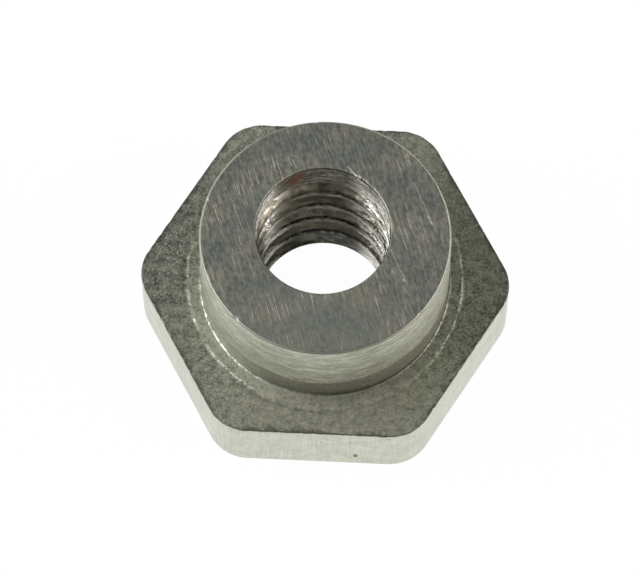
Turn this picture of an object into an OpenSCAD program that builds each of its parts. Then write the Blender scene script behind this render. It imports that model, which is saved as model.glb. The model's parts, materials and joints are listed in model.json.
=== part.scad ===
// Pivot nut, turned in one piece from hexagon bar and tapped right through.
// The head rests on its underside at z = 0, and the pivot boss points up along Z.
// The boss stands on the Z axis, with one flat of the head facing -Y.

/* [Hexagon head] */
// Width of the head across its flats
head_across_flats = 12.7; // [11.5:0.1:20]
// Height of the head, from its underside to the shoulder
head_height = 3; // [1:0.05:8]
// Radius of the six upright corners
corner_radius = 1.7; // [0.4:0.05:4]

/* [Pivot boss] */
// Diameter of the boss
boss_diameter = 9.5; // [7:0.05:10.5]
// Height of the boss above the shoulder
boss_height = 4.2; // [1:0.05:12]
// Edge break round the free end of the boss
boss_edge_break = 0.07; // [0.02:0.01:0.4]
// Fillet between the boss and the shoulder
foot_fillet = 0.1; // [0.02:0.01:0.3]

/* [Shoulder groove] */
// Width of plain shoulder between the boss and the tool groove round it
groove_gap = 0.5; // [0.4:0.05:0.6]
// Width of the tool groove
groove_width = 0.26; // [0.1:0.02:0.4]
// Depth of the tool groove
groove_depth = 0.05; // [0.01:0.01:0.2]

/* [Tapped hole] */
// Diameter of the hole at the crests of its thread
hole_diameter = 4.98; // [3:0.02:6]
// How far the hole's axis lies from the boss's axis
hole_runout = 0.26; // [0:0.01:0.4]
// Direction in which the hole's axis lies, turned from +X towards +Y
hole_runout_angle = 113; // [0:1:360]
// Edge break at both mouths of the hole
hole_edge_break = 0.07; // [0.02:0.01:0.3]
// Depth of the plain tapered lead over the thread, from the end of the boss
lead_depth = 1.15; // [0.4:0.05:1.8]
// How far the lead opens beyond the crests
lead_flare = 0.05; // [0.02:0.01:0.3]

/* [Hidden] */
$fn = 96;

// How far the bar and the cutters run past the faces of the nut
overrun = 1;

// The bar has six flats, and its rounded corners are posts that stand on one circle
flats = 6;
flat_turn = 360 / flats;
post_circle = (head_across_flats / 2 - corner_radius) / cos(flat_turn / 2);
flat_length = 2 * post_circle * sin(flat_turn / 2);

boss_radius = boss_diameter / 2;
boss_top = head_height + boss_height;
bar_length = boss_top + 2 * overrun;
facing_radius = post_circle + corner_radius + overrun;
groove_inner = boss_radius + groove_gap;
groove_middle = groove_inner + groove_width / 2;
groove_outer = groove_inner + groove_width;
hole_radius = hole_diameter / 2;
lead_radius = hole_radius + lead_flare;

// Drawn bar: three crossed slabs make the flats, and six posts round the corners
module hexagon_bar() {
    translate([0, 0, boss_top / 2]) {
        for (pair = [0 : flats / 2 - 1])
            rotate([0, 0, pair * flat_turn])
                cube([flat_length, head_across_flats, bar_length], center = true);
        for (corner = [0 : flats - 1])
            rotate([0, 0, corner * flat_turn])
                translate([post_circle, 0, 0])
                    cylinder(h = bar_length, r = corner_radius, center = true);
    }
}

// Everything that the lathe leaves standing, from the underside to the end of the boss
module turned_form() {
    foot_radius = boss_radius + foot_fillet;
    foot_top = head_height + foot_fillet;
    rotate_extrude()
        difference() {
            polygon([
                [0, 0],
                [facing_radius, 0],
                [facing_radius, head_height],
                [groove_outer, head_height],
                [groove_middle, head_height - groove_depth],
                [groove_inner, head_height],
                [foot_radius, head_height],
                [foot_radius, foot_top],
                [boss_radius, foot_top],
                [boss_radius, boss_top - boss_edge_break],
                [boss_radius - boss_edge_break, boss_top],
                [0, boss_top]
            ]);
            translate([foot_radius, foot_top])
                circle(foot_fillet);
        }
}

// The hole on its own axis, with its lead at the boss end, opened a little at both mouths
module tapped_hole() {
    mouth_spread = hole_edge_break + overrun;
    rotate([0, 0, hole_runout_angle])
        translate([hole_runout, 0, 0])
            rotate_extrude()
                polygon([
                    [0, -overrun],
                    [hole_radius + mouth_spread, -overrun],
                    [hole_radius, hole_edge_break],
                    [hole_radius, boss_top - lead_depth],
                    [lead_radius, boss_top - hole_edge_break],
                    [lead_radius + mouth_spread, boss_top + overrun],
                    [0, boss_top + overrun]
                ]);
}

module pivot_nut() {
    color([0.55, 0.55, 0.53])
        difference() {
            intersection() {
                hexagon_bar();
                turned_form();
            }
            tapped_hole();
        }
}

pivot_nut();
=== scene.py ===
import json
import math
import bpy
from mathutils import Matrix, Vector


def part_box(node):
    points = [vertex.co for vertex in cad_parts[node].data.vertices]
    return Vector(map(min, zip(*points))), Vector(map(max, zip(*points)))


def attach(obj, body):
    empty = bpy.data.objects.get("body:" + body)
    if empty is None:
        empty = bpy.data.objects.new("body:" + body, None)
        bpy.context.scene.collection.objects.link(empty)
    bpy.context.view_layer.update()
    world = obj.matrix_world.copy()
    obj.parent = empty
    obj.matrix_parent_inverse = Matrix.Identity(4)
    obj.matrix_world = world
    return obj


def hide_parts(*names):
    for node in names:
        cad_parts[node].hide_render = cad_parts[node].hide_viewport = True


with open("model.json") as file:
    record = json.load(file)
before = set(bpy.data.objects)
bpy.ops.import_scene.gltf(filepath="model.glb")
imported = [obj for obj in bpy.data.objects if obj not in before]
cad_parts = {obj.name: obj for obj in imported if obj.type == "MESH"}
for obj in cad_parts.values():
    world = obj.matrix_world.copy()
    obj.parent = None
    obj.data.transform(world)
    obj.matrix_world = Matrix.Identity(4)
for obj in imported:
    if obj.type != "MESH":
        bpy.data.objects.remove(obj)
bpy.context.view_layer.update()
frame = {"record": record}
print("frame loaded")

mm = 0.001
turn = 2 * math.pi
cornerTurn = turn / 12  # from the middle of a flat to the next corner
scene = bpy.context.scene
scene.view_settings.view_transform = "Standard"


# Node helpers: a value that is a socket is linked, and any other value is set
def addNode(tree, kind, **settings):
    node = tree.nodes.new(kind)
    for name, value in settings.items():
        setattr(node, name, value)
    return node


def plug(tree, socket, value):
    if isinstance(value, bpy.types.NodeSocket):
        tree.links.new(value, socket)
    elif value is not None:
        socket.default_value = value


class Sums:
    # arithmetic on sockets, for shader trees and geometry trees alike
    def __init__(self, tree):
        self.tree = tree

    def op(self, operation, *values, clamp=False):
        node = addNode(self.tree, "ShaderNodeMath", operation=operation, use_clamp=clamp)
        for socket, value in zip(node.inputs, values):
            plug(self.tree, socket, value)
        return node.outputs[0]

    def chain(self, operation, first, *others):
        for value in others:
            first = self.op(operation, first, value)
        return first

    def add(self, *values):
        return self.chain("ADD", *values)

    def sub(self, *values):
        return self.chain("SUBTRACT", *values)

    def mul(self, *values):
        return self.chain("MULTIPLY", *values)

    def most(self, *values):
        return self.chain("MAXIMUM", *values)

    def div(self, a, b):
        return self.op("DIVIDE", a, b)

    def cos(self, a):
        return self.op("COSINE", a)

    def sin(self, a):
        return self.op("SINE", a)

    def absolute(self, a):
        return self.op("ABSOLUTE", a)

    def clamped(self, a):
        return self.op("ADD", a, 0.0, clamp=True)

    def centred(self, noise):  # noise lies about a half
        return self.sub(noise, 0.5)

    def smooth(self, value, low, high):  # 0 at low, 1 at high, eased between; low may be the greater
        node = addNode(self.tree, "ShaderNodeMapRange", interpolation_type="SMOOTHSTEP")
        for socket, given in zip(node.inputs, (value, low, high, 0.0, 1.0)):
            plug(self.tree, socket, given)
        return node.outputs[0]

    def below(self, value, low, high):  # 1 below low, 0 above high
        return self.smooth(value, high, low)

    def mixed(self, values, weights):
        total = 0.0
        for value, weight in zip(values, weights):
            total = self.add(total, self.mul(value, weight))
        return total

    def lerp(self, share, a, b):
        return self.add(a, self.mul(share, self.sub(b, a)))

    def vector(self, x, y, z):
        node = addNode(self.tree, "ShaderNodeCombineXYZ")
        for socket, value in zip(node.inputs, (x, y, z)):
            plug(self.tree, socket, value)
        return node.outputs[0]

    def split(self, vector):
        node = addNode(self.tree, "ShaderNodeSeparateXYZ")
        plug(self.tree, node.inputs[0], vector)
        return node.outputs

    def vectorOp(self, operation, *values):
        node = addNode(self.tree, "ShaderNodeVectorMath", operation=operation)
        for socket, value in zip(node.inputs, values):
            plug(self.tree, socket, value)
        isNumber = operation in ("LENGTH", "DISTANCE", "DOT_PRODUCT")
        return node.outputs["Value" if isNumber else "Vector"]

    def scaled(self, vector, factor):
        node = addNode(self.tree, "ShaderNodeVectorMath", operation="SCALE")
        plug(self.tree, node.inputs[0], vector)
        plug(self.tree, node.inputs["Scale"], factor)
        return node.outputs[0]

    def noise(self, vector, scale=1.0, detail=2.0, rough=0.5):
        node = addNode(self.tree, "ShaderNodeTexNoise")
        plug(self.tree, node.inputs["Vector"], vector)
        node.inputs["Scale"].default_value = scale
        node.inputs["Detail"].default_value = detail
        node.inputs["Roughness"].default_value = rough
        return node.outputs[0]


# Camera, fitted to the photograph's 640 x 576 frame
cameraSet = {
    "azimuth": 2.77,
    "elevation": 67.8,
    "roll": -0.06,
    "distance": 183.8 * mm,
    "right": -0.195 * mm,
    "up": 0.79 * mm,
    "lens": 265.2,
    "sensor": 36.0,
    "clip": (10 * mm, 2.0),
}


def pointing(around, above):  # direction at an angle round from +X and an angle up, in degrees
    around, above = math.radians(around), math.radians(above)
    flat = math.cos(above)
    return Vector((math.cos(around) * flat, math.sin(around) * flat, math.sin(above)))


def makeCamera(given):
    back = pointing(given["azimuth"] - 90, given["elevation"])
    right = pointing(given["azimuth"], 0)
    up = back.cross(right)
    data = bpy.data.cameras.new("photoCamera")
    data.lens = given["lens"]
    data.sensor_width = given["sensor"]
    data.clip_start, data.clip_end = given["clip"]
    camera = bpy.data.objects.new("photoCamera", data)
    camera.location = back * given["distance"] + right * given["right"] + up * given["up"]
    camera.rotation_euler = (-back).to_track_quat("-Z", "Y").to_euler()
    camera.rotation_euler.rotate_axis("Z", math.radians(given["roll"]))
    scene.collection.objects.link(camera)
    scene.camera = camera


makeCamera(cameraSet)
print("camera set")


# Sizes of the nut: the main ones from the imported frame, the small ones as in the part's source,
# and those of the thread and the wear, which only this script has
mounts = {mount["name"]: mount for mount in frame["record"]["mounts"]}
nutLow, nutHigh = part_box("pivot_nut")
halfFlats = (nutHigh.y - nutLow.y) / 2
halfCorners = (nutHigh.x - nutLow.x) / 2
slant = 1 / math.cos(cornerTurn)
bossRadius = mounts["pivot_boss"]["dims"]["r_mm"] * mm
holeRadius = mounts["tapped_hole"]["dims"]["r_mm"] * mm
holeX, holeY, holeMiddle = mounts["tapped_hole"]["pos_m"]
holeHalf = mounts["tapped_hole"]["dims"]["length_mm"] * mm / 2
nutSizes = {
    "Half Flats": halfFlats,
    "Corner Radius": (halfFlats * slant - halfCorners) / (slant - 1),
    "Head Height": mounts["shoulder"]["pos_m"][2],
    "Head Edge": 0.015 * mm,
    "Boss Radius": bossRadius,
    "Boss Top": nutHigh.z,
    "Boss Edge": 0.07 * mm,
    "Foot Fillet": 0.1 * mm,
    "Groove Gap": 0.5 * mm,
    "Groove Width": 0.26 * mm,
    "Groove Depth": 0.05 * mm,
    "Hole Radius": holeRadius,
    "Hole Edge": holeMiddle - holeHalf,
    "Hole X": holeX,
    "Hole Y": holeY,
    "Lead Floor": holeMiddle + holeHalf,
    "Lead Flare": 0.05 * mm,
    "Thread Pitch": 1.27 * mm,
    "Thread Depth": 0.66 * mm,
    "Thread Crest": 0.3 * mm,
    "Thread Root": 0.16 * mm,
    "Thread End": math.radians(236),
    "Thread Foot": 0.36 * mm,
    "Run Out": 0.2,
    "Thread Tear": 0.14 * mm,
    "Rim Wear": 0.02 * mm,
    "Head Chips": 0.05 * mm,
    "Mouth Chips": 0.13 * mm,
}
nutMesh = {"around": 360, "rowsPerPitch": 16, "merge": 0.0004 * mm}
nutWear = {
    # nicks in the rim of the boss: angle and half width in degrees, depth
    "nicks": [
        (164.0, 1.2, 0.07 * mm),
        (-132.3, 1.5, 0.10 * mm),
        (-39.0, 1.0, 0.06 * mm),
        (97.0, 1.5, 0.04 * mm),
    ],
    # chipped stretch of the mouth: middle and half width in degrees
    "mouthMiddle": 60.0,
    "mouthHalf": 18.0,
    # layer and scale of the noises that go round the nut
    "rimLayer": 0.0,
    "rimScale": 9.0,
    "grooveLayer": 3.0,
    "grooveScale": 6.0,
    "grooveRange": (0.3, 0.6),
    "chipLayer": 5.0,
    "chipRange": (0.50, 0.68),
    "mouthScale": 20.0,
    "headScale": 30.0,
    "tearScale": 5.0,
    "tearRise": 1.6 * mm,
    "tearClear": 0.15 * mm,
    "flankEase": 0.4,
}


# Materials: steel in six finishes, all on Object coordinates in millimetres.
# A range fades from 0 at its first value to 1 at its second. A side is a direction with half its
# width and its softness, in degrees. A spot is a centre with the distances where it starts to fade
# and ends. A mix holds the weights of the noises that make a tone.
def newSteel(name, given):
    material = bpy.data.materials.new(name)
    material.use_nodes = True
    tree = material.node_tree
    shader = tree.nodes["Principled BSDF"]
    shader.inputs["Metallic"].default_value = given["metallic"]
    sums = Sums(tree)
    place = addNode(tree, "ShaderNodeTexCoord").outputs["Object"]
    return material, tree, shader, sums, sums.scaled(place, 1 / mm)


def colourMix(tree, share, a, b, blend="MIX"):
    node = addNode(tree, "ShaderNodeMix", data_type="RGBA", blend_type=blend)
    plug(tree, node.inputs[0], share)
    plug(tree, node.inputs[6], a)  # sockets 6 and 7, and 2 of the outputs, carry the colours
    plug(tree, node.inputs[7], b)
    return node.outputs[2]


def dressSteel(tree, shader, colour, rough, height, depth):
    bump = addNode(tree, "ShaderNodeBump")
    bump.inputs["Distance"].default_value = depth
    plug(tree, bump.inputs["Height"], height)
    plug(tree, shader.inputs["Normal"], bump.outputs[0])
    plug(tree, shader.inputs["Base Color"], colour)
    plug(tree, shader.inputs["Roughness"], rough)


def turned(tree, vector, angle):
    node = addNode(tree, "ShaderNodeMapping")
    node.inputs["Rotation"].default_value = (0, 0, math.radians(angle))
    plug(tree, node.inputs["Vector"], vector)
    return node.outputs[0]


def stretched(sums, place, perMm, detail=3.0, rough=0.6):  # noise with its own scale along each axis
    return sums.noise(sums.vectorOp("MULTIPLY", place, perMm), detail=detail, rough=rough)


def patch(sums, place, centre, near, far):  # 1 at the centre, 0 beyond far
    return sums.below(sums.vectorOp("DISTANCE", place, centre), near, far)


def scratch(sums, place, start, end, wide, core=0.3):  # 1 along a line from start to end
    along = Vector(end) - Vector(start)
    offset = sums.vectorOp("SUBTRACT", place, tuple(start))
    reached = sums.vectorOp("DOT_PRODUCT", offset, tuple(along))
    share = sums.op("DIVIDE", reached, along.length_squared, clamp=True)
    foot = sums.scaled(tuple(along), share)
    return sums.below(sums.vectorOp("DISTANCE", offset, foot), wide * core, wide)


def fromAxis(sums, place):
    x, y, z = sums.split(place)
    return sums.op("SQRT", sums.add(sums.mul(x, x), sums.mul(y, y))), x, y, z


def sector(sums, x, y, middle, half, soft):  # 1 within half a width of a direction, in degrees
    off = sums.sub(sums.op("ARCTAN2", y, x), math.radians(middle))
    off = sums.absolute(sums.op("WRAP", off, turn / 2, -turn / 2))
    return sums.below(off, math.radians(half - soft), math.radians(half + soft))


def sectors(sums, x, y, sides):
    return sums.most(*[sector(sums, x, y, *side) for side in sides])


endFinish = {
    "metallic": 0.85,
    "sandAngle": -18.6,
    "streak": (13.0, 2.2, 1.0),
    "hair": (24.0, 1.2, 1.0),
    "line": (26.0, 0.7, 1.0),
    "mottle": 5.0,
    "field": 0.7,
    "toneMix": (0.46, 0.38, 0.16),
    "toneRange": (0.38, 0.63),
    "calmSide": (-90, 45, 25),
    "calm": 0.5,
    "calmTone": 0.53,
    "dark": (0.196, 0.201, 0.168, 1),
    "light": (0.409, 0.418, 0.357, 1),
    "tintRange": (0.40, 0.60),
    "blue": (0.97, 1.02, 1.05, 1),
    "brown": (1.055, 1.01, 0.985, 1),
    "bright": (0.90, 0.91, 0.85, 1),
    "rim": (0.10, 0.10, 0.085, 1),
    "rimWide": (0.16, 0.03),
    "rimSide": (-90, 50, 25),
    "rimForce": 0.6,
    "mouthWide": (-0.002, -0.015),
    "mouthForce": 0.8,
    "lineRange": (0.58, 0.70),
    "lineField": (0.40, 0.58),
    "lineForce": 0.45,
    "scratchRange": (0.25, 0.50),
    "rough": 0.34,
    "roughSpread": 0.16,
    "heightMix": (0.5, 0.5),
    "depth": 0.004 * mm,
    # start, end, width and force of the long scratches
    "scratches": [
        ((3.25, 2.35), (4.19, 0.35), 0.030, 0.40),
        ((3.85, 1.00), (3.99, 0.70), 0.060, 0.80),
        ((3.20, 0.83), (3.72, 0.04), 0.030, 0.35),
        ((2.49, -0.43), (3.11, -1.70), 0.028, 0.45),
        ((3.00, -1.60), (3.02, -1.66), 0.060, 0.70),
        ((-3.53, 1.13), (-3.10, 0.12), 0.028, 0.35),
        ((0.72, 2.90), (1.05, 2.54), 0.045, 0.70),
        ((-1.57, 3.20), (-1.40, 2.85), 0.035, 0.50),
        ((-1.37, 3.10), (-1.22, 2.76), 0.035, 0.50),
        ((-2.72, 2.35), (-2.60, 2.05), 0.040, 0.50),
        ((1.16, 2.54), (1.20, 2.50), 0.070, 0.55),
        ((1.45, 2.38), (1.50, 2.33), 0.060, 0.40),
        ((1.76, 2.10), (1.80, 2.04), 0.060, 0.45),
    ],
}


def sandedEnd(given):
    material, tree, shader, sums, place = newSteel("sandedEnd", given)
    radius, x, y, z = fromAxis(sums, place)
    endHeight = nutHigh.z / mm
    along = turned(tree, place, given["sandAngle"])
    streak = stretched(sums, along, given["streak"])
    hair = stretched(sums, along, given["hair"])
    mottle = sums.noise(place, given["mottle"], detail=4, rough=0.65)
    field = sums.noise(place, given["field"], detail=3)
    tone = sums.mixed((streak, mottle, field), given["toneMix"])
    calm = sums.mul(sector(sums, x, y, *given["calmSide"]), given["calm"])
    tone = sums.lerp(calm, tone, given["calmTone"])
    colour = colourMix(tree, sums.smooth(tone, *given["toneRange"]), given["dark"], given["light"])
    tint = colourMix(tree, sums.smooth(field, *given["tintRange"]), given["blue"], given["brown"])
    colour = colourMix(tree, 1.0, colour, tint, "MULTIPLY")
    # darker line along the front of the rim, and painted shade round the mouth of the hole
    edge = sums.smooth(sums.sub(bossRadius / mm, radius), *given["rimWide"])
    edge = sums.mul(edge, sector(sums, x, y, *given["rimSide"]))
    colour = colourMix(tree, sums.mul(edge, given["rimForce"]), colour, given["rim"])
    mouthEdge = sums.smooth(sums.sub(z, endHeight), *given["mouthWide"])
    colour = colourMix(tree, sums.mul(mouthEdge, given["mouthForce"]), colour, given["rim"])
    # fine sanding lines in patches, then the long scratches
    cut = sums.smooth(stretched(sums, along, given["line"], detail=2), *given["lineRange"])
    cut = sums.mul(cut, sums.smooth(field, *given["lineField"]), given["lineForce"])
    broken = sums.smooth(mottle, *given["scratchRange"])
    for start, end, wide, force in given["scratches"]:
        line = scratch(sums, place, (*start, endHeight), (*end, endHeight), wide)
        cut = sums.most(cut, sums.mul(line, force, broken))
    colour = colourMix(tree, cut, colour, given["bright"])
    rough = sums.add(given["rough"], sums.mul(hair, given["roughSpread"]))
    height = sums.sub(sums.mixed((hair, streak), given["heightMix"]), cut)
    dressSteel(tree, shader, colour, rough, height, given["depth"])
    return material


shoulderFinish = {
    "metallic": 0.6,
    "grain": 9.0,
    "coarse": 3.0,
    "toneMix": (0.58, 0.42),
    "toneMiddle": 0.5,
    "gain": 3.25,
    "calmGain": 2.1,
    "frontSide": (-82, 38, 15),
    "backSide": (35, 30, 15),
    "dark": (0.086, 0.089, 0.069, 1),
    "light": (0.410, 0.417, 0.342, 1),
    # darker rim colour, also painted shade on the fillet
    "soot": (0.055, 0.055, 0.042, 1),
    # pale specks painted as glints
    "speck": (0.62, 0.63, 0.62, 1),
    # painted highlight of the ring and foot lines
    "bright": (0.84, 0.83, 0.77, 1),
    # painted shade at the side corners: range in x, range in y, force
    "shades": [((-4.2, -5.6), (-2.2, -0.6), 0.15), ((3.2, 5.4), (-4.4, -2.0), 0.14)],
    # painted highlight inside the ring on the left
    "land": 0.34,
    "landEdge": (0.02, -0.05),
    "landSide": (-140, 35, 15),
    "dot": 13.0,
    "dotRange": (0.59, 0.71),
    "dotSpot": ((-6.0, 0.6, 3.0), 0.3, 1.8),
    "dotElsewhere": 0.45,
    "dotFront": 0.5,
    "tintRange": (0.40, 0.60),
    "cool": (0.99, 1.0, 1.0, 1),
    "warm": (1.02, 1.0, 0.97, 1),
    "oliveSide": (2.5, 4.5),
    "olive": (0.98, 1.02, 0.96, 1),
    "patchy": 2.0,
    "rim": 0.17,
    "rimSpread": 1.9,
    "rimCore": 0.02,
    "rimLeast": 0.07,
    "rimForce": 0.75,
    "rightHalf": (-1.0, 1.0),
    "filletRise": (0.0, 0.03),
    "filletForce": 0.75,
    "ringRadius": bossRadius / mm + 0.52,
    "ringWide": (0.045, 0.012),
    "ringForce": 0.9,
    "footRadius": bossRadius / mm + 0.05,
    "footWide": (0.055, 0.015),
    "footRight": 0.3,
    "arcs": [(-146.0, 26.0, 6.0), (-10.0, 22.0, 6.0)],  # where the lines shine
    "bead": 2.2,
    "beadRange": (0.38, 0.56),
    "beadGrain": (0.40, 0.55),
    "rough": 0.42,
    "roughSpread": 0.2,
    "lineShine": 0.2,
    "heightMix": (0.6, 0.4),
    "depth": 0.02 * mm,
}


def pittedShoulder(given):
    material, tree, shader, sums, place = newSteel("pittedShoulder", given)
    radius, x, y, z = fromAxis(sums, place)
    offRing = sums.sub(radius, given["ringRadius"])
    offFoot = sums.sub(radius, given["footRadius"])
    rightHalf = sums.smooth(x, *given["rightHalf"])
    grain = sums.noise(place, given["grain"], detail=3, rough=0.65)
    coarse = sums.noise(place, given["coarse"], detail=3)
    front = sector(sums, x, y, *given["frontSide"])
    calm = sums.most(front, sector(sums, x, y, *given["backSide"]))
    gain = sums.lerp(calm, given["gain"], given["calmGain"])
    tone = sums.mul(sums.centred(sums.mixed((grain, coarse), given["toneMix"])), gain)
    # painted highlight inside the tool ring on the left, painted shade at both side corners
    land = sums.mul(sums.smooth(offRing, *given["landEdge"]), given["land"])
    tone = sums.add(tone, sums.mul(land, sector(sums, x, y, *given["landSide"])), given["toneMiddle"])
    for inX, inY, force in given["shades"]:
        tone = sums.sub(tone, sums.mul(sums.smooth(x, *inX), sums.smooth(y, *inY), force))
    colour = colourMix(tree, sums.clamped(tone), given["dark"], given["light"])
    # pale specks painted as glints on the grain, thickest at the left corner
    corner = patch(sums, place, *given["dotSpot"])
    speck = sums.smooth(sums.noise(place, given["dot"], detail=1), *given["dotRange"])
    speck = sums.mul(speck, sums.lerp(corner, given["dotElsewhere"], 1.0))
    speck = sums.mul(speck, sums.lerp(front, 1.0, given["dotFront"]))
    colour = colourMix(tree, speck, colour, given["speck"])
    tint = colourMix(tree, sums.smooth(coarse, *given["tintRange"]), given["cool"], given["warm"])
    tint = colourMix(tree, sums.smooth(x, *given["oliveSide"]), tint, given["olive"])
    colour = colourMix(tree, 1.0, colour, tint, "MULTIPLY")
    # rim darkened unevenly along its edge
    aside, ahead = sums.absolute(x), sums.absolute(y)
    slope = sums.mixed((aside, ahead), (math.cos(cornerTurn), math.sin(cornerTurn)))
    inside = sums.sub(halfFlats / mm, sums.most(slope, ahead))
    patchy = sums.centred(sums.noise(place, given["patchy"], detail=5, rough=0.65))
    reach = sums.add(given["rim"], sums.mul(patchy, given["rimSpread"]))
    rim = sums.below(inside, given["rimCore"], sums.most(reach, given["rimLeast"]))
    colour = colourMix(tree, sums.mul(rim, given["rimForce"]), colour, given["soot"])
    # fillet given painted shade on the right; painted highlight lines, beaded, at the tool ring and at
    # the foot of the boss
    rise = sums.sub(z, nutSizes["Head Height"] / mm)
    fillet = sums.mul(sums.smooth(rise, *given["filletRise"]), rightHalf)
    colour = colourMix(tree, sums.mul(fillet, given["filletForce"]), colour, given["soot"])
    ring = sums.mul(sums.smooth(sums.absolute(offRing), *given["ringWide"]), given["ringForce"])
    foot = sums.smooth(sums.absolute(offFoot), *given["footWide"])
    foot = sums.mul(foot, sums.lerp(rightHalf, 1.0, given["footRight"]))
    bead = sums.smooth(sums.noise(place, given["bead"], detail=3), *given["beadRange"])
    bead = sums.mul(sums.smooth(grain, *given["beadGrain"]), bead)
    line = sums.mul(sums.most(ring, foot), sectors(sums, x, y, given["arcs"]), bead)
    colour = colourMix(tree, line, colour, given["bright"])
    rough = sums.add(given["rough"], sums.mul(grain, given["roughSpread"]))
    rough = sums.sub(rough, sums.mul(line, given["lineShine"]))
    height = sums.mixed((grain, coarse), given["heightMix"])
    dressSteel(tree, shader, colour, rough, height, given["depth"])
    return material


wallFinish = {
    "metallic": 0.85,
    "streak": (0.35, 0.35, 9.0),
    "smear": (1.5, 1.5, 4.5),
    "grain": 8.0,
    "toneMix": (0.36, 0.38, 0.26),
    "toneRange": (0.41, 0.59),
    "dark": (0.418, 0.426, 0.344, 1),
    "light": (0.697, 0.709, 0.586, 1),
    "band": (0.23, 0.225, 0.18, 1),
    "bandLight": (0.42, 0.415, 0.345, 1),
    "bandTop": 4.30,
    "bandEdge": (0.06, -0.16),
    "bandRagged": 0.5,
    "bandForce": 0.85,
    "bandLeft": (-3.4, -1.4),
    "bandLeast": 0.25,
    "bandMix": (0.5, 0.5),
    "bandRange": (0.40, 0.60),
    "wander": 0.5,
    "wanderRise": 0.3,
    "line": (0.85, 0.84, 0.74, 1),
    "lineRise": 0.05,
    "lineWide": (0.06, 0.02),
    "lineGrain": (0.40, 0.60),
    "lineForce": 0.85,
    # painted shade on the rim
    "rim": (0.30, 0.30, 0.25, 1),
    "rimLine": (-0.11, -0.06),
    "rimForce": 0.85,
    "rimClear": 0.2,
    "clearSides": [(35, 40, 15), (155, 20, 12)],
    "rough": 0.40,
    "roughSpread": 0.14,
    "depth": 0.012 * mm,
}


def turnedWall(given):
    material, tree, shader, sums, place = newSteel("turnedWall", given)
    x, y, z = sums.split(place)
    streak = stretched(sums, place, given["streak"], detail=4)
    smear = stretched(sums, place, given["smear"])
    grain = sums.noise(place, given["grain"], detail=4, rough=0.65)
    tone = sums.mixed((streak, smear, grain), given["toneMix"])
    colour = colourMix(tree, sums.smooth(tone, *given["toneRange"]), given["dark"], given["light"])
    # darker band at the foot, weaker on the left, with a thin bright line over it
    wander = sums.centred(sums.noise(place, given["wander"], detail=4))
    above = sums.sub(z, sums.add(given["bandTop"], sums.mul(wander, given["wanderRise"])))
    force = sums.lerp(sums.smooth(x, *given["bandLeft"]), given["bandLeast"], 1.0)
    ragged = sums.add(above, sums.mul(sums.centred(grain), given["bandRagged"]))
    band = sums.mul(sums.smooth(ragged, *given["bandEdge"]), force, given["bandForce"])
    mottle = sums.smooth(sums.mixed((streak, grain), given["bandMix"]), *given["bandRange"])
    bandColour = colourMix(tree, mottle, given["band"], given["bandLight"])
    colour = colourMix(tree, band, colour, bandColour)
    line = sums.smooth(sums.absolute(sums.sub(above, given["lineRise"])), *given["lineWide"])
    line = sums.mul(line, force, sums.smooth(grain, *given["lineGrain"]), given["lineForce"])
    colour = colourMix(tree, line, colour, given["line"])
    # rim darkened with painted shade, least at both sides of the back where it catches the light
    clear = sectors(sums, x, y, given["clearSides"])
    rim = sums.smooth(sums.sub(z, nutHigh.z / mm), *given["rimLine"])
    rim = sums.mul(rim, sums.lerp(clear, given["rimForce"], given["rimClear"]))
    colour = colourMix(tree, rim, colour, given["rim"])
    rough = sums.add(given["rough"], sums.mul(grain, given["roughSpread"]))
    dressSteel(tree, shader, colour, rough, tone, given["depth"])
    return material


flatFinish = {
    "metallic": 0.9,
    "drawn": (15.0, 15.0, 0.7),
    "smudge": (1.1, 1.1, 1.5),
    "speckle": 7.0,
    "toneMix": (0.34, 0.40, 0.26),
    "toneRange": (0.38, 0.62),
    "dark": (0.498, 0.505, 0.413, 1),
    "light": (0.648, 0.662, 0.557, 1),
    "soot": (0.09, 0.085, 0.065, 1),
    "pit": 4.5,
    "pitRange": (0.27, 0.22),
    "pitForce": 0.7,
    "chip": 3.0,
    "chipRagged": 0.25,
    "chipLine": (2.93, 2.99),
    "chipForce": 0.85,
    "dent": (1.46, -6.35, 0.80),
    "dentFlat": (1.0, 1.0, 0.45),
    "dentRange": (0.11, 0.04),
    "rough": 0.26,
    "roughSpread": 0.15,
    "heightMix": (0.7, 0.3),
    "depth": 0.004 * mm,
}


def drawnFlat(given):
    material, tree, shader, sums, place = newSteel("drawnFlat", given)
    upward = sums.split(place)[2]
    drawn = stretched(sums, place, given["drawn"])
    smudge = stretched(sums, place, given["smudge"])
    speckle = sums.noise(place, given["speckle"], detail=3)
    tone = sums.mixed((drawn, smudge, speckle), given["toneMix"])
    colour = colourMix(tree, sums.smooth(tone, *given["toneRange"]), given["dark"], given["light"])
    # darker along the chipped upper rim, in pits and in one dent
    ragged = sums.centred(sums.noise(place, given["chip"], detail=4))
    ragged = sums.add(upward, sums.mul(ragged, given["chipRagged"]))
    chip = sums.mul(sums.smooth(ragged, *given["chipLine"]), given["chipForce"])
    pit = sums.smooth(sums.noise(place, given["pit"], detail=2), *given["pitRange"])
    offDent = sums.vectorOp("SUBTRACT", place, given["dent"])
    offDent = sums.vectorOp("MULTIPLY", offDent, given["dentFlat"])
    dent = sums.smooth(sums.vectorOp("LENGTH", offDent), *given["dentRange"])
    soil = sums.most(chip, sums.mul(pit, given["pitForce"]), dent)
    colour = colourMix(tree, soil, colour, given["soot"])
    rough = sums.add(given["rough"], sums.mul(smudge, given["roughSpread"]))
    height = sums.mixed((drawn, speckle), given["heightMix"])
    dressSteel(tree, shader, colour, rough, height, given["depth"])
    return material


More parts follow.
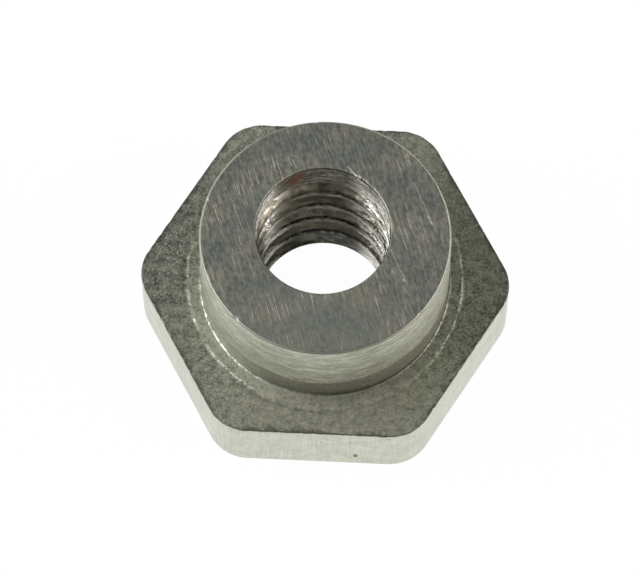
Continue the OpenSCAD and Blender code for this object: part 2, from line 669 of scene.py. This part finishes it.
threadFinish = {
    "metallic": 0.9,
    "tear": (1.2, 1.2, 9.0),
    "marksBlend": (-1.0, 0.6),
    "spot": 3.0,
    "blotch": 5.0,
    "toneMix": (0.7, 0.3),
    "toneRange": (0.38, 0.62),
    "dark": (0.22, 0.21, 0.165, 1),
    "light": (0.55, 0.53, 0.43, 1),
    "leadEdge": (-0.1, 0.1),
    "leftSide": (-1.5, -2.1),
    "rightSide": (0.9, 1.8),
    "rightRise": (5.0, 6.2),
    "rightLean": 0.35,
    # painted highlight on the side flanks; also the lighter torn marks and the glint
    "clean": (0.94, 0.91, 0.85, 1),
    "cleanTear": (0.41, 0.54),
    "cleanBlotch": (0.34, 0.48),
    "leastSide": (-1.0, 0.0),
    "leastClean": (0.7, 0.2),  # on the left, on the right
    "frontLeft": ((-0.8, -1.6), (1.4, 0.6), (6.3, 5.5)),  # ranges in x, y and z
    # painted shade colour
    "soot": (0.084, 0.082, 0.060, 1),
    "crestDepth": (0.12, 0.06),
    "oilRise": (1.0, 7.0),
    "oilCrest": (0.78, 0.60),  # low down, high up
    "oilGroove": 0.15,
    "oilBlotch": (0.42, 0.58),
    "oilSpread": (1.15, 0.7),  # outside the blotches, in them
    # more painted shade: ranges in x, range in z, force
    "oilSides": [
        (((1.9, 1.0),), (1.6, 0.9), 0.75),
        (((-0.6, -1.4),), (2.8, 1.4), 0.35),
        (((-0.8, -1.2), (-2.1, -1.7)), None, 0.5),
    ],
    "frontLeftForce": 0.8,
    "oilSpot": ((1.8, 1.8, 7.0), 0.2, 0.8),
    "oilSpotForce": 0.55,
    "lowerTurns": (3.5, 3.2),
    # painted shade on the lower crests
    "black": (0.035, 0.034, 0.026, 1),
    "blackBlotch": (0.48, 0.62),
    "blackSpread": (0.85, 0.35),  # outside the blotches, in them
    # painted light in the lower grooves
    "pale": (0.70, 0.68, 0.56, 1),
    "paleRise": (0.9, 1.3),
    "paleForce": 0.25,
    "torn": (1.6, 1.6, 2.4),
    "tornWide": (0.045, 0.01),
    "tornTop": (3.8, 3.2),
    "tornFoot": (1.2, 1.8),
    "tornCrest": 0.3,
    "tornForce": 0.35,
    "glint": ((-1.9, 1.8, 2.7), 0.3, 0.75),
    "glintTear": (0.35, 0.5),
    "glintForce": 0.9,
    "rust": (0.185, 0.082, 0.044, 1),
    "rustSpot": ((-1.25, 2.45, 6.75), 0.2, 0.75),
    "rustRange": (0.15, 0.45),
    "blush": (0.240, 0.190, 0.160, 1),
    "blushSpot": ((0.8, 2.6, 6.3), 0.25, 0.7),
    "blushForce": 0.6,
    "rough": 0.30,
    "roughMix": (0.2, 0.3, -0.1),
    "heightMix": (0.8, 0.2),
    "marksBack": (0.15, 0.35),  # upper turns, lower turns
    "marksSide": (0.8, 2.6),  # thread, lead
    "marksGlint": 0.8,
    "depth": 0.14 * mm,
}


def cutThread(given):
    material, tree, shader, sums, place = newSteel("cutThread", given)
    inHole = sums.vectorOp("SUBTRACT", place, (nutSizes["Hole X"] / mm, nutSizes["Hole Y"] / mm, 0))
    radius, x, y, z = fromAxis(sums, inHole)
    # tool marks run along the helix; those of the back and of the front half blend at the sides
    marks = []
    for facing in (1.0, -1.0):
        around = sums.op("ARCTAN2", sums.mul(x, facing), sums.mul(y, facing))
        risen = sums.add(z, sums.mul(around, nutSizes["Thread Pitch"] / mm / turn))
        marks.append(stretched(sums, sums.vector(x, y, risen), given["tear"], detail=4))
    tear = sums.lerp(sums.smooth(y, *given["marksBlend"]), marks[1], marks[0])
    spot = sums.noise(place, given["spot"], detail=4)
    blotch = sums.noise(place, given["blotch"], detail=3)
    tone = sums.smooth(sums.mixed((tear, spot), given["toneMix"]), *given["toneRange"])
    colour = colourMix(tree, tone, given["dark"], given["light"])
    # painted highlight at both sides, where the lamps catch the flanks; under the lead the left wall gets
    # painted shade towards the front
    lead = sums.smooth(sums.sub(z, nutSizes["Lead Floor"] / mm), *given["leadEdge"])
    lean = sums.mul(sums.smooth(z, *given["rightRise"]), given["rightLean"])
    rightSide = sums.smooth(sums.add(x, lean), *given["rightSide"])
    side = sums.most(sums.smooth(x, *given["leftSide"]), rightSide)
    back = sums.sub(1.0, side)
    clean = sums.mul(sums.smooth(tear, *given["cleanTear"]), sums.smooth(blotch, *given["cleanBlotch"]))
    least = sums.mul(lead, sums.lerp(sums.smooth(x, *given["leastSide"]), *given["leastClean"]))
    fades = zip((x, y, z), given["frontLeft"])
    frontLeft = sums.mul(*[sums.smooth(value, *fade) for value, fade in fades])
    clean = sums.mul(side, sums.most(clean, least), sums.sub(1.0, frontLeft))
    colour = colourMix(tree, clean, colour, given["clean"])
    # painted shade at the back, most on the crests, and at some places of the sides
    crest = sums.smooth(sums.sub(radius, holeRadius / mm), *given["crestDepth"])
    groove = sums.sub(1.0, crest)
    onCrest = sums.lerp(sums.smooth(z, *given["oilRise"]), *given["oilCrest"])
    uneven = sums.lerp(sums.smooth(blotch, *given["oilBlotch"]), *given["oilSpread"])
    paintedShade = sums.mul(back, sums.lerp(crest, given["oilGroove"], onCrest), uneven)
    for inX, inZ, force in given["oilSides"]:
        fades = [sums.smooth(x, *fade) for fade in inX]
        if inZ:
            fades.append(sums.smooth(z, *inZ))
        paintedShade = sums.most(paintedShade, sums.mul(*fades, force))
    paintedShade = sums.most(paintedShade, sums.mul(frontLeft, given["frontLeftForce"]))
    paintedShade = sums.most(paintedShade, sums.mul(patch(sums, inHole, *given["oilSpot"]), given["oilSpotForce"]))
    colour = colourMix(tree, paintedShade, colour, given["soot"])
    # lower turns at the back: crests blackened with painted shade, grooves lightened with painted light,
    # and torn marks lighter
    lower = sums.mul(back, sums.smooth(z, *given["lowerTurns"]))
    blackShare = sums.lerp(sums.smooth(blotch, *given["blackBlotch"]), *given["blackSpread"])
    colour = colourMix(tree, sums.mul(lower, crest, blackShare), colour, given["black"])
    pale = sums.mul(lower, groove, sums.smooth(z, *given["paleRise"]), given["paleForce"])
    colour = colourMix(tree, pale, colour, given["pale"])
    ridge = sums.absolute(sums.centred(stretched(sums, inHole, given["torn"], detail=3)))
    torn = sums.mul(back, sums.smooth(z, *given["tornTop"]), sums.smooth(z, *given["tornFoot"]))
    torn = sums.mul(torn, sums.smooth(ridge, *given["tornWide"]), given["tornForce"])
    torn = sums.mul(torn, sums.lerp(crest, 1.0, given["tornCrest"]))
    colour = colourMix(tree, torn, colour, given["clean"])
    # a painted glint low on the left, then rust and a brown blush on the lead
    glint = sums.mul(patch(sums, inHole, *given["glint"]), sums.smooth(tear, *given["glintTear"]))
    colour = colourMix(tree, sums.mul(glint, given["glintForce"]), colour, given["clean"])
    rust = sums.mul(patch(sums, place, *given["rustSpot"]), sums.smooth(spot, *given["rustRange"]))
    colour = colourMix(tree, rust, colour, given["rust"])
    blush = sums.mul(patch(sums, place, *given["blushSpot"]), given["blushForce"])
    colour = colourMix(tree, blush, colour, given["blush"])
    rough = sums.add(given["rough"], sums.mixed((spot, paintedShade, side), given["roughMix"]))
    # marks deepest on the sides of the lead
    deepBack = sums.lerp(lower, *given["marksBack"])
    deepSide = sums.lerp(lead, *given["marksSide"])
    deep = sums.add(sums.lerp(side, deepBack, deepSide), sums.mul(glint, given["marksGlint"]))
    height = sums.mul(sums.mixed((tear, blotch), given["heightMix"]), deep)
    dressSteel(tree, shader, colour, rough, height, given["depth"])
    return material


undersideFinish = {
    "metallic": 0.85,
    "dark": (0.34, 0.34, 0.29, 1),
    "light": (0.56, 0.56, 0.48, 1),
    "rings": 9.0,
    "ringDrift": 0.2,
    "grain": 6.0,
    "toneMix": (0.7, 0.3),
    "toneRange": (0.36, 0.64),
    "rough": 0.38,
    "roughSpread": 0.15,
    "depth": 0.006 * mm,
}


def facedUnderside(given):
    material, tree, shader, sums, place = newSteel("facedUnderside", given)
    radius, x, y = fromAxis(sums, place)[:3]
    drift = given["ringDrift"]
    spread = sums.vector(sums.mul(radius, given["rings"]), sums.mul(x, drift), sums.mul(y, drift))
    ring = sums.noise(spread, detail=3)
    grain = sums.noise(place, given["grain"], detail=3)
    tone = sums.mixed((ring, grain), given["toneMix"])
    colour = colourMix(tree, sums.smooth(tone, *given["toneRange"]), given["dark"], given["light"])
    rough = sums.add(given["rough"], sums.mul(grain, given["roughSpread"]))
    dressSteel(tree, shader, colour, rough, ring, given["depth"])
    return material


finishes = {
    "end": sandedEnd(endFinish),
    "shoulder": pittedShoulder(shoulderFinish),
    "wall": turnedWall(wallFinish),
    "flat": drawnFlat(flatFinish),
    "thread": cutThread(threadFinish),
    "underside": facedUnderside(undersideFinish),
}
finishNumbers = {name: number for number, name in enumerate(finishes)}
print("steel finishes made")


# One band of the nut: a grid swept once round between a start rail and an end rail.
# A grid node lies from -0.5 to 0.5 along both its sides.
def makeBandTree():
    tree = bpy.data.node_groups.new("nutBand", "GeometryNodeTree")
    face = tree.interface
    for name, kind in (
        ("Around", "Int"), ("Steps", "Int"), ("Start", "Vector"), ("End", "Vector"),
        ("Corner", "Vector"), ("Bend", "Float"), ("Finish", "Int"),
    ):
        face.new_socket(name, in_out="INPUT", socket_type="NodeSocket" + kind)
    face.new_socket("Band", in_out="OUTPUT", socket_type="NodeSocketGeometry")
    sums = Sums(tree)
    given = addNode(tree, "NodeGroupInput").outputs
    share = sums.add(sums.split(addNode(tree, "GeometryNodeInputPosition").outputs[0])[1], 0.5)
    straight = sums.vectorOp("ADD", given["Start"], sums.scaled(
        sums.vectorOp("SUBTRACT", given["End"], given["Start"]), share))
    quarter = sums.mul(share, turn / 4)
    leave = sums.scaled(sums.vectorOp("SUBTRACT", given["Start"], given["Corner"]),
                        sums.sub(1.0, sums.sin(quarter)))
    arrive = sums.scaled(sums.vectorOp("SUBTRACT", given["End"], given["Corner"]),
                         sums.sub(1.0, sums.cos(quarter)))
    curved = sums.vectorOp("ADD", given["Corner"], sums.vectorOp("ADD", leave, arrive))
    place = sums.vectorOp("ADD", straight, sums.scaled(
        sums.vectorOp("SUBTRACT", curved, straight), given["Bend"]))
    grid = gridNode(tree, sums, given["Around"], given["Steps"])
    out = addNode(tree, "NodeGroupOutput")
    plug(tree, out.inputs[0], placedBand(tree, grid, place, given["Finish"]))
    return tree


def gridNode(tree, sums, around, steps):
    node = addNode(tree, "GeometryNodeMeshGrid")
    plug(tree, node.inputs["Size X"], 1.0)
    plug(tree, node.inputs["Size Y"], 1.0)
    plug(tree, node.inputs["Vertices X"], sums.add(around, 1))
    plug(tree, node.inputs["Vertices Y"], sums.add(steps, 1))
    return node.outputs["Mesh"]


def placedBand(tree, grid, place, finish):
    move = addNode(tree, "GeometryNodeSetPosition")
    plug(tree, move.inputs["Geometry"], grid)
    plug(tree, move.inputs["Position"], place)
    mark = addNode(tree, "GeometryNodeStoreNamedAttribute", data_type="INT", domain="FACE")
    plug(tree, mark.inputs["Geometry"], move.outputs[0])
    plug(tree, mark.inputs["Name"], "finish")
    plug(tree, mark.inputs["Value"], finish)
    return mark.outputs[0]


# The nut: rails round it in order, with a band between each pair of neighbours
def makeNutTree(bandTree, wear):
    tree = bpy.data.node_groups.new("pivotNutForm", "GeometryNodeTree")
    face = tree.interface
    for name in nutSizes:
        face.new_socket(name, in_out="INPUT", socket_type="NodeSocketFloat")
    face.new_socket("Around", in_out="INPUT", socket_type="NodeSocketInt")
    face.new_socket("Nut", in_out="OUTPUT", socket_type="NodeSocketGeometry")
    sums = Sums(tree)
    size = addNode(tree, "NodeGroupInput").outputs
    gridX, gridY = sums.split(addNode(tree, "GeometryNodeInputPosition").outputs[0])[:2]
    angle = sums.mul(sums.add(gridX, 0.5), turn)
    across, along = sums.cos(angle), sums.sin(angle)

    def roundNoise(layer, scale, detail):
        return sums.noise(sums.vector(across, along, layer), scale, detail=detail)

    rimNoise = roundNoise(wear["rimLayer"], wear["rimScale"], 4)
    rimWear = sums.mul(sums.absolute(sums.centred(rimNoise)), size["Rim Wear"])
    grooveNoise = roundNoise(wear["grooveLayer"], wear["grooveScale"], 3)
    grooveWear = sums.smooth(grooveNoise, *wear["grooveRange"])

    def near(degrees, half):  # 1 at a direction, 0 beyond half a width from it
        off = sums.op("WRAP", sums.sub(angle, math.radians(degrees)), turn / 2, -turn / 2)
        return sums.below(sums.absolute(off), 0.0, math.radians(half))

    def nicked(edge, nicks):
        for degrees, half, deep in nicks:
            edge = sums.add(edge, sums.mul(near(degrees, half), deep))
        return edge

    def bitten(edge, scale, deep):  # small chips where a noise is high
        bite = sums.smooth(roundNoise(wear["chipLayer"], scale, 3), *wear["chipRange"])
        return sums.add(edge, sums.mul(bite, deep))

    def circle(radius, height, hole=False):
        x, y = sums.mul(radius, across), sums.mul(radius, along)
        if hole:
            x, y = sums.add(x, size["Hole X"]), sums.add(y, size["Hole Y"])
        return sums.vector(x, y, height)

    # distance from the axis to the rounded hexagon, drawn in by inset
    cornerCircle = sums.mul(sums.sub(size["Half Flats"], size["Corner Radius"]), slant)

    def hexagon(inset, height):
        folded = sums.op("FLOORED_MODULO", sums.add(angle, turn / 4 + cornerTurn), 2 * cornerTurn)
        offFlat = sums.absolute(sums.sub(folded, cornerTurn))
        half = sums.sub(size["Half Flats"], inset)
        onFlat = sums.div(half, sums.cos(offFlat))
        offCorner = sums.sub(cornerTurn, offFlat)
        radius = sums.sub(size["Corner Radius"], inset)
        aside = sums.mul(cornerCircle, sums.sin(offCorner))
        reach = sums.op("SQRT", sums.sub(sums.mul(radius, radius), sums.mul(aside, aside)))
        onCorner = sums.add(sums.mul(cornerCircle, sums.cos(offCorner)), reach)
        flatEnd = sums.op("ARCTAN2", sums.mul(cornerCircle, math.sin(cornerTurn)), half)
        return circle(sums.lerp(sums.op("LESS_THAN", offFlat, flatEnd), onCorner, onFlat), height)

    head, top, edge = size["Head Height"], size["Boss Top"], size["Head Edge"]
    boss, foot = size["Boss Radius"], size["Foot Fillet"]
    bossEdge = nicked(sums.add(size["Boss Edge"], rimWear), wear["nicks"])
    hole, mouth = size["Hole Radius"], size["Hole Edge"]
    mouthRadius = sums.add(hole, mouth)
    chipsDeep = sums.mul(near(wear["mouthMiddle"], wear["mouthHalf"]), size["Mouth Chips"])
    topMouth = bitten(sums.add(mouth, rimWear), wear["mouthScale"], chipsDeep)
    leadFloor = size["Lead Floor"]

    def leadAt(height):  # radius of the plain wall of the hole
        risen = sums.div(sums.sub(height, leadFloor), sums.sub(top, mouth, leadFloor))
        return sums.add(hole, sums.mul(sums.clamped(risen), size["Lead Flare"]))

    grooveInner = sums.add(boss, size["Groove Gap"])
    grooveMiddle = sums.add(grooveInner, sums.div(size["Groove Width"], 2))
    grooveOuter = sums.add(grooveInner, size["Groove Width"])
    wornEdge = bitten(sums.add(edge, rimWear), wear["headScale"], size["Head Chips"])

    underInner = circle(mouthRadius, 0.0, hole=True)
    underOuter = hexagon(edge, 0.0)
    flatLow, flatHigh = hexagon(0.0, edge), hexagon(0.0, sums.sub(head, wornEdge))
    shoulderOuter = hexagon(wornEdge, head)
    grooveRails = [
        circle(grooveOuter, head),
        circle(grooveMiddle, sums.sub(head, sums.mul(size["Groove Depth"], grooveWear))),
        circle(grooveInner, head),
    ]
    footOuter, footTop = circle(sums.add(boss, foot), head), circle(boss, sums.add(head, foot))
    wallTop = circle(boss, sums.sub(top, bossEdge))
    endOuter = circle(sums.sub(boss, bossEdge), top)
    mouthLine = sums.sub(top, topMouth)
    mouthWall = leadAt(mouthLine)
    endInner = circle(sums.add(mouthWall, topMouth), top, hole=True)
    holeTop = circle(mouthWall, mouthLine, hole=True)
    holeBottom = circle(hole, mouth, hole=True)

    # start rail, end rail, steps, corner that the band bends round, finish
    bands = [
        (underInner, underOuter, 14, None, "underside"),
        (underOuter, flatLow, 3, hexagon(0.0, 0.0), "flat"),
        (flatLow, flatHigh, 14, None, "flat"),
        (flatHigh, shoulderOuter, 3, hexagon(0.0, head), "flat"),
        (shoulderOuter, grooveRails[0], 22, None, "shoulder"),
        (grooveRails[0], grooveRails[1], 2, None, "shoulder"),
        (grooveRails[1], grooveRails[2], 2, None, "shoulder"),
        (grooveRails[2], footOuter, 6, None, "shoulder"),
        (footOuter, footTop, 4, circle(boss, head), "shoulder"),
        (footTop, wallTop, 26, None, "wall"),
        (wallTop, endOuter, 3, circle(boss, top), "wall"),
        (endOuter, endInner, 28, None, "end"),
        (endInner, holeTop, 3, circle(mouthWall, top, hole=True), "end"),
        (holeBottom, underInner, 3, circle(hole, 0.0, hole=True), "thread"),
    ]
    join = addNode(tree, "GeometryNodeJoinGeometry")
    for start, end, steps, corner, finish in bands:
        band = addNode(tree, "GeometryNodeGroup", node_tree=bandTree)
        plug(tree, band.inputs["Around"], size["Around"])
        plug(tree, band.inputs["Steps"], steps)
        plug(tree, band.inputs["Start"], start)
        plug(tree, band.inputs["End"], end)
        plug(tree, band.inputs["Corner"], corner)
        plug(tree, band.inputs["Bend"], 0.0 if corner is None else 1.0)
        plug(tree, band.inputs["Finish"], finishNumbers[finish])
        tree.links.new(band.outputs[0], join.inputs[0])

    # thread: rows follow the helix and stop at both ends of the hole
    pitch, perPitch = size["Thread Pitch"], float(nutMesh["rowsPerPitch"])
    low, high = mouth, mouthLine
    span = sums.add(sums.sub(top, mouth, low), pitch)
    rows = sums.op("CEIL", sums.mul(sums.div(span, pitch), perPitch))
    fallen = sums.mul(sums.add(gridY, 0.5), rows, sums.div(pitch, perPitch))
    climb = sums.mul(pitch, sums.div(angle, turn))
    helix = sums.add(sums.sub(high, fallen), climb)
    height = sums.op("MINIMUM", sums.most(helix, low), high)
    # turns down from the groove's upper end to its nearest middle line, and the distance from that line
    endTurn = sums.div(sums.sub(size["Thread End"], angle), turn)
    down = sums.sub(sums.div(sums.sub(leadFloor, height), pitch), endTurn)
    nearest = sums.op("ROUND", down)
    offGroove = sums.mul(sums.absolute(sums.sub(down, nearest)), pitch)
    turnsDown = sums.add(endTurn, nearest)
    groove = sums.div(sums.sub(pitch, size["Thread Crest"]), 2)
    root = sums.div(size["Thread Root"], 2)
    turns = sums.div(sums.sub(leadFloor, mouth, size["Thread Foot"]), pitch)
    left = sums.op("MINIMUM", turnsDown, sums.sub(turns, turnsDown))
    cut = sums.clamped(sums.div(sums.sub(groove, offGroove), sums.sub(groove, root)))
    cut = sums.lerp(wear["flankEase"], cut, sums.smooth(cut, 0.0, 1.0))
    cut = sums.mul(cut, sums.smooth(left, 0.0, size["Run Out"]))
    # torn metal; nothing is cut right at the mouths, so that the seams close
    rasp = roundNoise(sums.div(height, wear["tearRise"]), wear["tearScale"], 3)
    tear = sums.absolute(sums.centred(rasp))
    inset = sums.op("MINIMUM", sums.sub(high, height), sums.sub(height, low))
    deep = sums.mixed((cut, tear), (size["Thread Depth"], size["Thread Tear"]))
    depth = sums.mul(deep, sums.smooth(inset, 0.0, wear["tearClear"]))
    threadGrid = gridNode(tree, sums, size["Around"], rows)
    threadPlace = circle(sums.add(leadAt(height), depth), height, hole=True)
    tree.links.new(placedBand(tree, threadGrid, threadPlace, finishNumbers["thread"]), join.inputs[0])

    weld = addNode(tree, "GeometryNodeMergeByDistance")
    plug(tree, weld.inputs["Geometry"], join.outputs[0])
    plug(tree, weld.inputs["Distance"], nutMesh["merge"])
    soft = addNode(tree, "GeometryNodeSetShadeSmooth")
    plug(tree, soft.inputs["Geometry"], weld.outputs[0])
    whole = addNode(tree, "GeometryNodeRealizeInstances")
    plug(tree, whole.inputs[0], soft.outputs[0])
    shape = whole.outputs[0]
    mark = addNode(tree, "GeometryNodeInputNamedAttribute", data_type="INT")
    plug(tree, mark.inputs["Name"], "finish")
    for name, material in finishes.items():
        same = addNode(tree, "FunctionNodeCompare", data_type="INT", operation="EQUAL")
        plug(tree, same.inputs[2], mark.outputs[0])  # sockets 2 and 3 carry whole numbers
        plug(tree, same.inputs[3], finishNumbers[name])
        paint = addNode(tree, "GeometryNodeSetMaterial")
        plug(tree, paint.inputs["Geometry"], shape)
        plug(tree, paint.inputs["Selection"], same.outputs[0])
        plug(tree, paint.inputs["Material"], material)
        shape = paint.outputs[0]
    out = addNode(tree, "NodeGroupOutput")
    plug(tree, out.inputs[0], shape)
    return tree


def makeNut():
    tree = makeNutTree(makeBandTree(), nutWear)
    nut = bpy.data.objects.new("turned_nut", bpy.data.meshes.new("nutStart"))
    scene.collection.objects.link(nut)
    modifier = nut.modifiers.new("form", "NODES")
    modifier.node_group = tree
    values = dict(nutSizes, Around=nutMesh["around"])
    for socket in tree.interface.items_tree:
        if socket.in_out == "INPUT":
            modifier[socket.identifier] = values[socket.name]
    shaped = nut.evaluated_get(bpy.context.evaluated_depsgraph_get())
    mesh = bpy.data.meshes.new_from_object(shaped)
    nut.modifiers.remove(modifier)
    nut.data = mesh
    if "finish" in mesh.attributes:
        mesh.attributes.remove(mesh.attributes["finish"])
    print("nut formed:", len(mesh.vertices), "points,", len(mesh.polygons), "faces")
    return nut


nut = makeNut()
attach(nut, "root")
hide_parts("pivot_nut")


# Stage: a pale floor, and a soft studio that is white at the sides and darker above and in front
stageSet = {"radius": 0.4, "around": 96, "white": 1.0, "steady": 0.98, "floorColour": 0.9}


def whiteStage(given):
    material = bpy.data.materials.new("paleStage")
    material.use_nodes = True
    tree = material.node_tree
    tree.nodes.remove(tree.nodes["Principled BSDF"])
    out = tree.nodes["Material Output"]
    sums = Sums(tree)
    rays = addNode(tree, "ShaderNodeLightPath").outputs
    seen = sums.most(rays["Is Camera Ray"], rays["Is Glossy Ray"], rays["Is Transmission Ray"])
    matt = addNode(tree, "ShaderNodeBsdfDiffuse")
    matt.inputs["Color"].default_value = (given["floorColour"],) * 3 + (1,)
    glow = addNode(tree, "ShaderNodeEmission")
    glow.inputs["Strength"].default_value = given["white"]
    mix = addNode(tree, "ShaderNodeMixShader")
    plug(tree, mix.inputs[0], sums.mul(seen, given["steady"]))
    plug(tree, mix.inputs[1], matt.outputs[0])
    plug(tree, mix.inputs[2], glow.outputs[0])
    plug(tree, out.inputs["Surface"], mix.outputs[0])
    return material


def makeStage(given):
    points = []
    for step in range(given["around"]):
        angle = step / given["around"] * turn
        points.append((given["radius"] * math.cos(angle), given["radius"] * math.sin(angle), 0.0))
    mesh = bpy.data.meshes.new("stage")
    mesh.from_pydata(points, [], [tuple(range(given["around"]))])
    mesh.materials.append(whiteStage(given))
    floor = bpy.data.objects.new("stage", mesh)
    scene.collection.objects.link(floor)


makeStage(stageSet)

lightSet = {
    "sides": 0.60,
    "above": 0.18,
    "front": 0.08,
    "seen": 1.0,
    "sideTop": (20.0, 45.0),
    "frontSpread": (-0.25, -0.60),
    "away": 0.22,
    # name, angle round, angle up, size, power, tint
    "boxes": [
        ("leftBox", 182.0, 41.0, 0.16, 0.38, (1, 1, 1)),
        ("rightBox", 4.0, 33.5, 0.07, 0.13, (1, 0.95, 0.91)),
        ("frontBox", -15.0, 39.0, 0.07, 0.13, (1, 0.95, 0.91)),
    ],
}


def makeLights(given):
    world = bpy.data.worlds.new("studio")
    world.use_nodes = True
    tree = world.node_tree
    sums = Sums(tree)
    ahead, upward = sums.split(addNode(tree, "ShaderNodeTexCoord").outputs["Generated"])[1:]
    low, high = [math.sin(math.radians(angle)) for angle in given["sideTop"]]
    level = sums.lerp(sums.smooth(upward, low, high), given["sides"], given["above"])
    level = sums.lerp(sums.smooth(ahead, *given["frontSpread"]), level, given["front"])
    level = sums.lerp(addNode(tree, "ShaderNodeLightPath").outputs["Is Camera Ray"], level, given["seen"])
    background = tree.nodes["Background"]
    background.inputs["Color"].default_value = (1, 1, 1, 1)
    plug(tree, background.inputs["Strength"], level)
    scene.world = world
    for name, around, up, size, power, tint in given["boxes"]:
        data = bpy.data.lights.new(name, "AREA")
        data.shape = "SQUARE"
        data.size = size
        data.energy = power
        data.color = tint
        facing = pointing(around, up)
        lamp = bpy.data.objects.new(name, data)
        lamp.location = facing * given["away"]
        lamp.rotation_euler = facing.to_track_quat("Z", "Y").to_euler()
        scene.collection.objects.link(lamp)


makeLights(lightSet)
print("stage and lights set")
